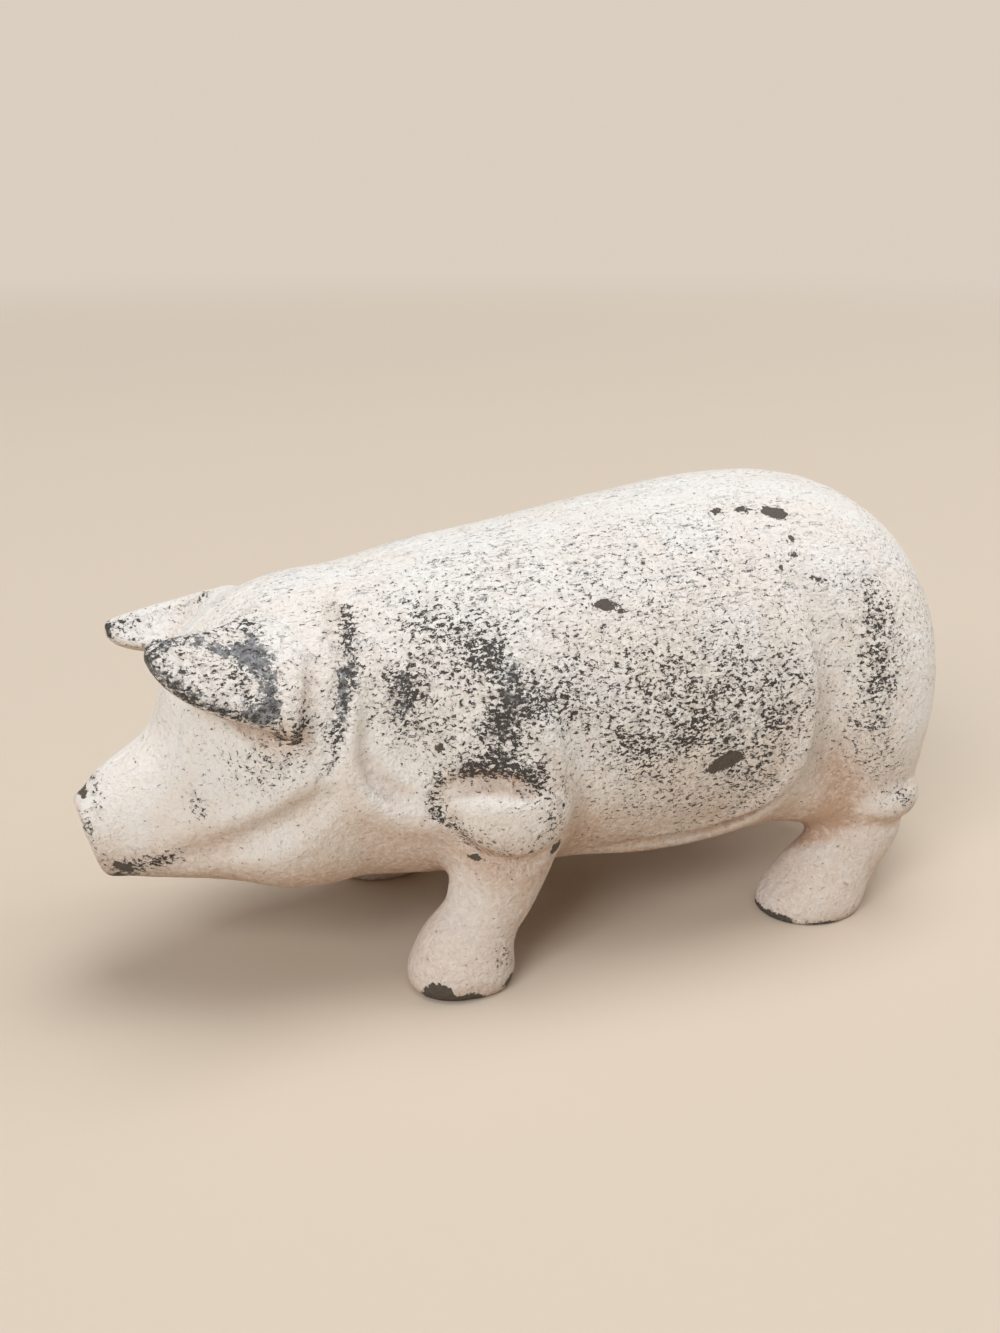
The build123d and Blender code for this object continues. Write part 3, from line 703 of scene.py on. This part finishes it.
def wear_maps(corners):
    """Wear and painted shade at each corner: both sides read the same tables, the right one through a wider
    drift, and each has its own ear and its own chips. The painted shade strokes are read without drift."""
    right = np.clip((corners[:, 1] + DRIFT_BAND) / (2 * DRIFT_BAND), 0, 1)[:, None]
    drift = np.stack([waves(corners, DRIFT_SIZE, DRIFT_SEED + k) for k in range(3)], 1)
    x, y, z = (corners + drift * (LEFT_DRIFT * (1 - right) + RIGHT_DRIFT * right)).T
    drifted, still = (x, np.abs(y), z), (corners[:, 0], np.abs(corners[:, 1]), corners[:, 2])
    maps = {
        "flecks": laid(drifted, FLECKED),
        "rubs": laid(drifted, RUBBED),
        # painted shade strokes in the groin, behind the elbow and over the front leg
        "shade_strokes": laid(still, PAINTED_SHADE_STROKES),
        "chips": np.zeros(len(corners)),
    }
    for side, flecks, rubs, chips in (
        (corners[:, 1] < 0, LEFT_EAR_FLECKED, LEFT_EAR_RUBBED, LEFT_CHIPS),
        (corners[:, 1] >= 0, RIGHT_EAR_FLECKED, RIGHT_EAR_RUBBED, RIGHT_CHIPS),
    ):
        here = [c[side] for c in still]
        maps["flecks"][side] += laid(here, flecks)
        maps["rubs"][side] += laid(here, rubs)
        maps["chips"][side] = np.clip(chipped(here, chips), -DEEPEST_CHIP, DEEPEST_CHIP)
    return maps


low = np.array((NET_START[0], -(MIDDLE_CUBE + 0.5) * PITCH, NET_START[1]))
blocks = tuple(int(math.ceil(span / (PITCH * BLOCK))) for span in NET_SPAN)
corners, faces, cubes = net(pig, low, blocks, PITCH)
pinned = cubes[:, 1] == MIDDLE_CUBE
corners[pinned, 1] = 0
corners = settle(pig, corners, faces, pinned, SETTLING_ROUNDS)
slope = slopes_of(pig, corners)[1]
normal = slope / np.maximum(np.linalg.norm(slope, axis=1), 1e-6)[:, None]
hollow = 1 - read_field(pig, corners + normal * HOLLOW_REACH) / HOLLOW_REACH
edge = 1 + read_field(pig, corners - normal * EDGE_REACH) / EDGE_REACH
lumps = sum(height * waves(corners, size, SEED + k) for k, (height, size) in enumerate(LUMPS))
lumps = lumps * np.clip(corners[:, 2] / SOLE_BAND, 0, 1)
corners = corners + normal * np.where(pinned, 0, lumps)[:, None]
corners[pinned] = corners[pinned] - normal[pinned] * (1, 0, 1) * SEAM_DEPTH
corners[:, 2] = np.maximum(corners[:, 2], 0)
# hollow and under feed the painted shade in the paint's colour; edge feeds the wear on edges
maps = {"hollow": hollow, "edge": edge, "under": np.maximum(-normal[:, 2], 0), **wear_maps(corners)}
layer = cubes[:, 1][faces]
left_shell = shell("cast_left_half", corners, faces[(layer <= MIDDLE_CUBE).all(1)], maps)
right_shell = shell("cast_right_half", corners, faces[(layer >= MIDDLE_CUBE).all(1)], maps)

# Finishes

# Colours
CREAM = (0.85, 0.81, 0.765, 1)
CHALK = (0.86, 0.85, 0.83, 1)
# Painted shade: warm brown that stands for shade and bounce light in hollows, low down and on faces that look
# down
PAINTED_SHADE_BROWN = (0.53, 0.37, 0.27, 1)
RUBBED_GREY = (0.10, 0.10, 0.102, 1)
# Painted sheen: lighter bluish grey that rubbed iron goes to in random patches
SHEEN_GREY = (0.29, 0.30, 0.32, 1)
SMUDGE = (0.40, 0.37, 0.35, 1)
STREAK = (0.27, 0.275, 0.29, 1)
IRON = (0.045, 0.040, 0.036, 1)
BARE_IRON = (0.082, 0.066, 0.052, 1)
STEEL = (0.26, 0.25, 0.24, 1)

# Noises: lumps to a millimetre, octaves, roughness and twist
CLOUDS = (0.11, 3.0, 0.6)
MOTTLE = (1.3, 3.0, 0.7)
HAIRS = (2.0, 3.0, 0.65, 0.9)
HAIR_FIELDS = (0.14, 2.0)
SMUDGES = (0.9, 4.0, 0.7)
SHEEN = (1.6, 4.0, 0.7)
SPREAD = (0.16, 2.0, 0.5)
RAGGED = (1.6, 3.0, 0.65)
COARSE_RUBS = (0.85, 3.0, 0.55, 0.4)
FINE_RUBS = (2.2, 4.0, 0.75)
BIG_LUMPS = (0.75, 3.0, 0.55, 0.2)
GRAIN = (2.4, 3.0, 0.6)
TURNING_MARKS = (3.0, 3.0, 0.6)

# Values between which a part of the finish goes from none to full; heights are in millimetres
CLOUD_RANGE = (0.38, 0.62)
LOW_HEIGHTS = (44.0, 12.0)
HOLLOW_RANGE = (0.06, 0.55)
MOTTLE_RANGE = (0.30, 0.62)
HAIR_RANGE = (0.575, 0.63)
HAIR_FIELD_RANGE = (0.40, 0.58)
HAIR_HEIGHTS = (42.0, 50.0)
SMUDGE_RANGE = (0.42, 0.66)
SHEEN_RANGE = (0.36, 0.64)
RUBBED_EDGE_RANGE = (0.30, 0.55)
FLECKED_EDGE_RANGE = (0.22, 0.5)
SPREAD_RANGE = (0.36, 0.60)
HIGH_HEIGHTS = (20.0, 48.0)
CHIP_RANGE = (0.72, 0.82)
RUB_RANGE = (1.74, 1.94)
FLECK_RANGE = (-0.010, 0.020)
VEIN_RANGE = (-0.004, 0.012)
VEIN_BREAK_RANGE = (0.50, 0.56)
MARK_RANGE = (0.35, 0.65)

# Flecks: stretch of their noise, how many to a millimetre, octaves, roughness and twist of the coarse and
# fine noise and of the veins, how much more often the last two come, the coarse and the fine noise's part,
# the level that their sum has to pass and how far it falls with the share, and the veins' width at a full
# share and strength
FLECK_STRETCH = (0.72, 1.0, 1.12)
PAINT_FLECKS = 2.0
STEEL_FLECKS = 1.0
COARSE_FLECKS = (3.0, 0.62, 0.35)
FINE_FLECKS = (2.0, 0.6)
VEINS = (2.0, 0.6, 1.4)
FINE_TIMES = 3.1
VEIN_TIMES = 0.55
COARSE_PART = 0.70
FINE_PART = 0.30
FLECK_LEVEL = 0.675
FLECK_FALL = 0.16
VEIN_WIDTH = 0.022
VEIN_STRENGTH = 0.8

# Hairlines: stretch of their noise and strength
HAIR_STRETCH = (0.30, 1.0, 1.0)
HAIR_STRENGTH = 0.8

# Painted shade and warm bounce: what hollows, low places and faces that look down add, how far clouds shift
# the low line, and the least and the spread of its mottle
SHADE_IN_HOLLOWS = 0.62
SHADE_LOW_DOWN = 0.42
SHADE_FACING_DOWN = 0.75
LOW_SHIFT = 16.0
MOTTLE_LEAST = 0.6
MOTTLE_SPREAD = 0.5

# Share of flecks: everywhere, high up and on edges, least and spread of what was laid, and on rubbed patches
FLECKS_EVERYWHERE = 0.14
FLECKS_HIGH = 0.12
FLECKS_ON_EDGES = 0.4
LAID_LEAST = 0.75
LAID_SPREAD = 0.45
FLECKS_ON_RUBS = 0.6

# Rubbed patches: parts of the coarse noise, the fine noise and the share, and what edges add to the share
RUB_COARSE = 1.2
RUB_FINE = 1.5
RUB_SHARE = 0.80
RUBS_ON_EDGES = 0.45

# Strength of the smudges round flecks, and how ragged a chip's rim is in millimetres
SMUDGE_STRENGTH = 0.75
CHIP_RAGGEDNESS = 1.5

# Roughness of the paint, and how much smoother bare iron and rubbed patches are
PAINT_ROUGHNESS = 0.82
BARE_SMOOTHER = 0.22
RUB_SMOOTHER = 0.30

# Depth of the bump in millimetres, the grain's height as a share of the big lumps', and how far bare iron
# lies below them
PAINT_RELIEF = 0.52
STEEL_RELIEF = 0.05
GRAIN_HEIGHT = 0.35
BARE_DEPTH = 0.55

# Screw: share of paint left on it, and its least roughness and how much its turning marks add
PAINT_ON_STEEL = 0.9
STEEL_ROUGHNESS = 0.15
MARKS_ROUGHER = 0.5


def put(tree, kind, feeds, **settings):
    """Node of a kind in a tree. Feeds give each named or numbered socket a value or another node's output."""
    made = tree.nodes.new(kind)
    for key, value in settings.items():
        setattr(made, key, value)
    for key, value in feeds.items():
        if isinstance(value, bpy.types.NodeSocket):
            tree.links.new(value, made.inputs[key])
        else:
            made.inputs[key].default_value = value
    return made.outputs


def noise(tree, place, scale, detail=2.0, rough=0.5, twist=0.0):
    """Random lumps from about 0.3 to 0.7, so many to a millimetre."""
    feeds = {"Vector": place, "Scale": scale, "Detail": detail, "Roughness": rough, "Distortion": twist}
    return put(tree, "ShaderNodeTexNoise", feeds)["Fac"]


def reckon(tree, how, *values):
    """Math node on one, two or three values."""
    return put(tree, "ShaderNodeMath", dict(enumerate(values)), operation=how)[0]


def total(tree, start, *parts):
    """A start value plus each part's value times its amount."""
    for value, amount in parts:
        start = reckon(tree, "MULTIPLY_ADD", value, amount, start)
    return start


def ease(tree, value, low, high):
    """Zero below low, one above high and a smooth rise between them."""
    feeds = {"Value": value, "From Min": low, "From Max": high}
    return put(tree, "ShaderNodeMapRange", feeds, interpolation_type="SMOOTHSTEP")["Result"]


def blend(tree, share, one, other):
    """Colour that goes from one to other by a share."""
    return put(tree, "ShaderNodeMix", {"Factor": share, 6: one, 7: other}, data_type="RGBA")[2]


def effect(name, takes, gives):
    """Empty node group with named inputs and outputs: its tree, the inputs' sockets and the output node."""
    tree = bpy.data.node_groups.new(name, "ShaderNodeTree")
    for key, kind in takes.items():
        tree.interface.new_socket(key, in_out="INPUT", socket_type=kind)
    for key, kind in gives.items():
        tree.interface.new_socket(key, in_out="OUTPUT", socket_type=kind)
    return tree, tree.nodes.new("NodeGroupInput").outputs, tree.nodes.new("NodeGroupOutput").inputs


def fleck_effect():
    """Flecks: a stretched noise past a level that falls as the share grows, with fine broken veins."""
    takes = {"Place": "NodeSocketVector", "Share": "NodeSocketFloat", "Per millimetre": "NodeSocketFloat"}
    tree, taken, given = effect("flecks_through_paint", takes, {"Mask": "NodeSocketFloat"})
    stretch = {0: taken["Place"], 1: FLECK_STRETCH}
    place = put(tree, "ShaderNodeVectorMath", stretch, operation="MULTIPLY")[0]
    share, often = taken["Share"], taken["Per millimetre"]
    coarse = noise(tree, place, often, *COARSE_FLECKS)
    fine = noise(tree, place, reckon(tree, "MULTIPLY", often, FINE_TIMES), *FINE_FLECKS)
    mixed = total(tree, 0.0, (coarse, COARSE_PART), (fine, FINE_PART))
    level = total(tree, FLECK_LEVEL, (share, -FLECK_FALL))
    spots = ease(tree, reckon(tree, "SUBTRACT", mixed, level), *FLECK_RANGE)
    line = noise(tree, place, reckon(tree, "MULTIPLY", often, VEIN_TIMES), *VEINS)
    off = reckon(tree, "ABSOLUTE", reckon(tree, "SUBTRACT", line, 0.5))
    width = reckon(tree, "MULTIPLY", share, VEIN_WIDTH)
    thin = ease(tree, reckon(tree, "SUBTRACT", width, off), *VEIN_RANGE)
    broken = ease(tree, mixed, *VEIN_BREAK_RANGE)
    veins = reckon(tree, "MULTIPLY", reckon(tree, "MULTIPLY", thin, broken), VEIN_STRENGTH)
    tree.links.new(reckon(tree, "MAXIMUM", spots, veins), given["Mask"])
    return tree


def rub_effect():
    """Soft rubbed patches: the share, broken up by coarse and fine noise."""
    takes = {"Place": "NodeSocketVector", "Share": "NodeSocketFloat"}
    tree, taken, given = effect("rubbed_patches", takes, {"Mask": "NodeSocketFloat"})
    coarse = noise(tree, taken["Place"], *COARSE_RUBS)
    fine = noise(tree, taken["Place"], *FINE_RUBS)
    broken = total(tree, 0.0, (coarse, RUB_COARSE), (fine, RUB_FINE), (taken["Share"], RUB_SHARE))
    tree.links.new(ease(tree, broken, *RUB_RANGE), given["Mask"])
    return tree


def lump_effect():
    """Height of brushed, lumpy paint: lumps of two sizes, the fine ones lower."""
    tree, taken, given = effect("brushed_lumps", {"Place": "NodeSocketVector"}, {"Height": "NodeSocketFloat"})
    lumps = noise(tree, taken["Place"], *BIG_LUMPS)
    grain = noise(tree, taken["Place"], *GRAIN)
    tree.links.new(total(tree, lumps, (grain, GRAIN_HEIGHT)), given["Height"])
    return tree


flecks_through_paint = fleck_effect()
rubbed_patches = rub_effect()
brushed_lumps = lump_effect()


def start(name):
    """New material: its tree, its shader and the place on the piece in millimetres."""
    material = bpy.data.materials.new(name)
    material.use_nodes = True
    tree = material.node_tree
    here = put(tree, "ShaderNodeTexCoord", {})["Object"]
    place = put(tree, "ShaderNodeMapping", {"Vector": here, "Scale": (1 / METRES,) * 3})["Vector"]
    return material, tree, tree.nodes["Principled BSDF"], place


def placed(tree, shared, feeds):
    """Shared effect placed in a material with its own values."""
    made = tree.nodes.new("ShaderNodeGroup")
    made.node_tree = shared
    for key, value in feeds.items():
        if isinstance(value, bpy.types.NodeSocket):
            tree.links.new(value, made.inputs[key])
        else:
            made.inputs[key].default_value = value
    return made.outputs[0]


def bumped(tree, shader, height, depth):
    """Bump of a depth in millimetres under a shader, from a height."""
    bump = put(tree, "ShaderNodeBump", {"Height": height, "Strength": 1.0, "Distance": depth * METRES})
    tree.links.new(bump["Normal"], shader.inputs["Normal"])


def white_with_painted_shade(tree, place, height, read):
    """Colour of the paint alone: cream and chalk clouds, with painted shade, browner where it is hollow, low
    or faces down and where the painted shade strokes lie.
    """
    cloud = noise(tree, place, *CLOUDS)
    clean = blend(tree, ease(tree, cloud, *CLOUD_RANGE), CREAM, CHALK)
    low = ease(tree, total(tree, height, (cloud, LOW_SHIFT)), *LOW_HEIGHTS)
    hollow = ease(tree, read["hollow"], *HOLLOW_RANGE)
    # painted shade: darker, browner paint in hollows, low down and on faces that look down
    shade_parts = ((hollow, SHADE_IN_HOLLOWS), (low, SHADE_LOW_DOWN), (read["under"], SHADE_FACING_DOWN))
    painted_shade = total(tree, read["shade_strokes"], *shade_parts)
    mottle = ease(tree, noise(tree, place, *MOTTLE), *MOTTLE_RANGE)
    painted_shade = reckon(tree, "MULTIPLY", painted_shade, total(tree, MOTTLE_LEAST, (mottle, MOTTLE_SPREAD)))
    return blend(tree, painted_shade, clean, PAINTED_SHADE_BROWN)


def hairlines(tree, place, height):
    """Fine grey lines drawn along the back, in some fields of it."""
    along = put(tree, "ShaderNodeVectorMath", {0: place, 1: HAIR_STRETCH}, operation="MULTIPLY")[0]
    hairs = ease(tree, noise(tree, along, *HAIRS), *HAIR_RANGE)
    fields = ease(tree, noise(tree, place, *HAIR_FIELDS), *HAIR_FIELD_RANGE)
    high = ease(tree, height, *HAIR_HEIGHTS)
    hairs = reckon(tree, "MULTIPLY", reckon(tree, "MULTIPLY", hairs, fields), high)
    return reckon(tree, "MULTIPLY", hairs, HAIR_STRENGTH)


def fleck_share(tree, place, height, read, rub):
    """How much of the skin is flecked: more where flecks were laid, high up, on edges and on rubs."""
    spread = ease(tree, noise(tree, place, *SPREAD), *SPREAD_RANGE)
    laid_on = reckon(tree, "MULTIPLY", read["flecks"], total(tree, LAID_LEAST, (spread, LAID_SPREAD)))
    share = reckon(tree, "ADD", laid_on, FLECKS_EVERYWHERE)
    high, edge = ease(tree, height, *HIGH_HEIGHTS), ease(tree, read["edge"], *FLECKED_EDGE_RANGE)
    share = total(tree, share, (high, FLECKS_HIGH), (edge, FLECKS_ON_EDGES))
    return reckon(tree, "MAXIMUM", share, reckon(tree, "MULTIPLY", rub, FLECKS_ON_RUBS))


def rubbed_white_paint():
    """Chalky white over cast iron with painted shade, browner where it is hollow, low or faces down, rubbed
    grey with a painted sheen, flecked and chipped.
    """
    material, tree, shader, place = start("rubbed_white_paint")
    read = {
        key: put(tree, "ShaderNodeAttribute", {}, attribute_name=key)["Fac"]
        for key in ("flecks", "rubs", "shade_strokes", "chips", "hollow", "edge", "under")
    }
    height = put(tree, "ShaderNodeSeparateXYZ", {"Vector": place})["Z"]
    colour = white_with_painted_shade(tree, place, height, read)
    colour = blend(tree, hairlines(tree, place, height), colour, STREAK)
    smudges = ease(tree, noise(tree, place, *SMUDGES), *SMUDGE_RANGE)
    smudge = reckon(tree, "MULTIPLY", read["flecks"], smudges)
    colour = blend(tree, reckon(tree, "MULTIPLY", smudge, SMUDGE_STRENGTH), colour, SMUDGE)
    rubs = total(tree, read["rubs"], (ease(tree, read["edge"], *RUBBED_EDGE_RANGE), RUBS_ON_EDGES))
    rub = placed(tree, rubbed_patches, {"Place": place, "Share": rubs})
    # painted sheen: rubbed patches run from dark grey to a lighter bluish grey by noise
    sheen = ease(tree, noise(tree, place, *SHEEN), *SHEEN_RANGE)
    colour = blend(tree, rub, colour, blend(tree, sheen, RUBBED_GREY, SHEEN_GREY))
    share = fleck_share(tree, place, height, read, rub)
    flecks = {"Place": place, "Share": share, "Per millimetre": PAINT_FLECKS}
    fleck = placed(tree, flecks_through_paint, flecks)
    colour = blend(tree, fleck, colour, IRON)
    ragged = noise(tree, place, *RAGGED)
    chip = ease(tree, total(tree, read["chips"], (ragged, CHIP_RAGGEDNESS)), *CHIP_RANGE)
    tree.links.new(blend(tree, chip, colour, BARE_IRON), shader.inputs["Base Color"])
    bare = reckon(tree, "MAXIMUM", fleck, chip)
    rough = total(tree, PAINT_ROUGHNESS, (bare, -BARE_SMOOTHER), (rub, -RUB_SMOOTHER))
    tree.links.new(rough, shader.inputs["Roughness"])
    lumps = placed(tree, brushed_lumps, {"Place": place})
    bumped(tree, shader, total(tree, lumps, (bare, -BARE_DEPTH)), PAINT_RELIEF)
    return material


def blackened_steel():
    """Dark screw steel with fine turning marks, and white paint left in flecks."""
    material, tree, shader, place = start("blackened_steel")
    flecks = {"Place": place, "Share": PAINT_ON_STEEL, "Per millimetre": STEEL_FLECKS}
    paint = placed(tree, flecks_through_paint, flecks)
    marks = noise(tree, place, *TURNING_MARKS)
    colour = blend(tree, ease(tree, marks, *MARK_RANGE), STEEL, BARE_IRON)
    tree.links.new(blend(tree, paint, colour, CREAM), shader.inputs["Base Color"])
    tree.links.new(reckon(tree, "SUBTRACT", 1.0, paint), shader.inputs["Metallic"])
    tree.links.new(total(tree, STEEL_ROUGHNESS, (marks, MARKS_ROUGHER)), shader.inputs["Roughness"])
    bumped(tree, shader, placed(tree, brushed_lumps, {"Place": place}), STEEL_RELIEF)
    return material


paint = rubbed_white_paint()
for piece, node in ((left_shell, "left_half"), (right_shell, "right_half")):
    piece.data.materials.append(paint)
    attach(piece, "root")
    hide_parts(node)

steel = blackened_steel()
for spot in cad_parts["screw"].material_slots:
    spot.material = steel

# Floor, light and camera

FLOOR_REACH = 7.0
FLOOR_FLAT = 2.6
FLOOR_RISE = 0.25
FLOOR_STEPS = 57


def bowl_floor():
    """Floor on a square grid, flat in the middle; past that it rises with the square of the distance."""
    line = np.linspace(-FLOOR_REACH, FLOOR_REACH, FLOOR_STEPS)
    x, y = np.meshgrid(line, line, indexing="ij")
    z = FLOOR_RISE * np.maximum(np.hypot(x, y) - FLOOR_FLAT, 0) ** 2
    index = np.arange(FLOOR_STEPS**2).reshape(FLOOR_STEPS, FLOOR_STEPS)
    faces = np.stack([index[:-1, :-1], index[1:, :-1], index[1:, 1:], index[:-1, 1:]], -1).reshape(-1, 4)
    mesh = bpy.data.meshes.new("floor")
    mesh.from_pydata(np.stack([x, y, z], -1).reshape(-1, 3).tolist(), [], faces.tolist())
    mesh.shade_smooth()
    floor = bpy.data.objects.new("floor", mesh)
    bpy.context.scene.collection.objects.link(floor)
    return floor


FLOOR_COLOUR = (0.66, 0.57, 0.47, 1)
FLOOR_ROUGHNESS = 0.9
FAR_COLOUR = (0.70, 0.62, 0.53, 1)
FAR_FROM = 0.35
FAR_WHOLE = 1.6


def pale_floor():
    """Matt pale floor; well away from the pig, a ray from the camera meets an even glow of the same tone."""
    material = bpy.data.materials.new("pale_floor")
    material.use_nodes = True
    tree = material.node_tree
    shader = tree.nodes["Principled BSDF"]
    shader.inputs["Base Color"].default_value = FLOOR_COLOUR
    shader.inputs["Roughness"].default_value = FLOOR_ROUGHNESS
    here = put(tree, "ShaderNodeTexCoord", {})["Object"]
    away = put(tree, "ShaderNodeVectorMath", {0: here}, operation="LENGTH")["Value"]
    rays = put(tree, "ShaderNodeLightPath", {})
    seen = reckon(tree, "MAXIMUM", rays["Is Camera Ray"], rays["Is Glossy Ray"])
    far = reckon(tree, "MULTIPLY", ease(tree, away, FAR_FROM, FAR_WHOLE), seen)
    glow = put(tree, "ShaderNodeEmission", {"Color": FAR_COLOUR})["Emission"]
    mixed = put(tree, "ShaderNodeMixShader", {0: far, 1: shader.outputs["BSDF"], 2: glow})["Shader"]
    tree.links.new(mixed, tree.nodes["Material Output"].inputs["Surface"])
    return material


floor = bowl_floor()
floor.data.materials.append(pale_floor())

# Lamps: name, place and size in metres, and power in watts
LAMPS = (
    ("window", (0.4, 0.1, 3.0), 1.8, 48),
    ("room_side", (-2.0, -1.7, 1.9), 1.4, 52),
    ("far_side", (2.4, -0.2, 1.5), 1.6, 20),
)
SKY_STRENGTH = 0.28


def soft_lamp(name, place, size, power):
    """Square white lamp at a place, turned to face the pig."""
    lamp = bpy.data.lights.new(name, "AREA")
    lamp.shape = "SQUARE"
    lamp.size = size
    lamp.energy = power
    holder = bpy.data.objects.new(name, lamp)
    holder.location = place
    holder.rotation_euler = (-Vector(place)).to_track_quat("-Z", "Y").to_euler()
    bpy.context.scene.collection.objects.link(holder)


for lamp in LAMPS:
    soft_lamp(*lamp)

world = bpy.data.worlds.new("room")
bpy.context.scene.world = world
world.use_nodes = True
sky = world.node_tree.nodes["Background"]
sky.inputs["Color"].default_value = (1, 1, 1, 1)
sky.inputs["Strength"].default_value = SKY_STRENGTH

# Camera, as worked out from the photo: place in millimetres, angles, focal length as a share of the
# picture's height, and the sensor's height in millimetres
CAMERA_PLACE = (-71.8, -167.0, 99.0)
CAMERA_HEADING = math.radians(22.0)
CAMERA_PITCH = math.radians(19.2)
FOCAL_SHARE = 1380 / 1333
SENSOR = 36
eye = bpy.data.cameras.new("photo_view")
eye.sensor_width = SENSOR
eye.lens = FOCAL_SHARE * eye.sensor_width
eye.clip_start = 0.005
eye.clip_end = 50
view = bpy.data.objects.new("photo_view", eye)
view.location = [c * METRES for c in CAMERA_PLACE]
view.rotation_euler = (math.pi / 2 - CAMERA_PITCH, 0, -CAMERA_HEADING)
bpy.context.scene.collection.objects.link(view)
bpy.context.scene.camera = view
bpy.context.scene.view_settings.view_transform = "Standard"
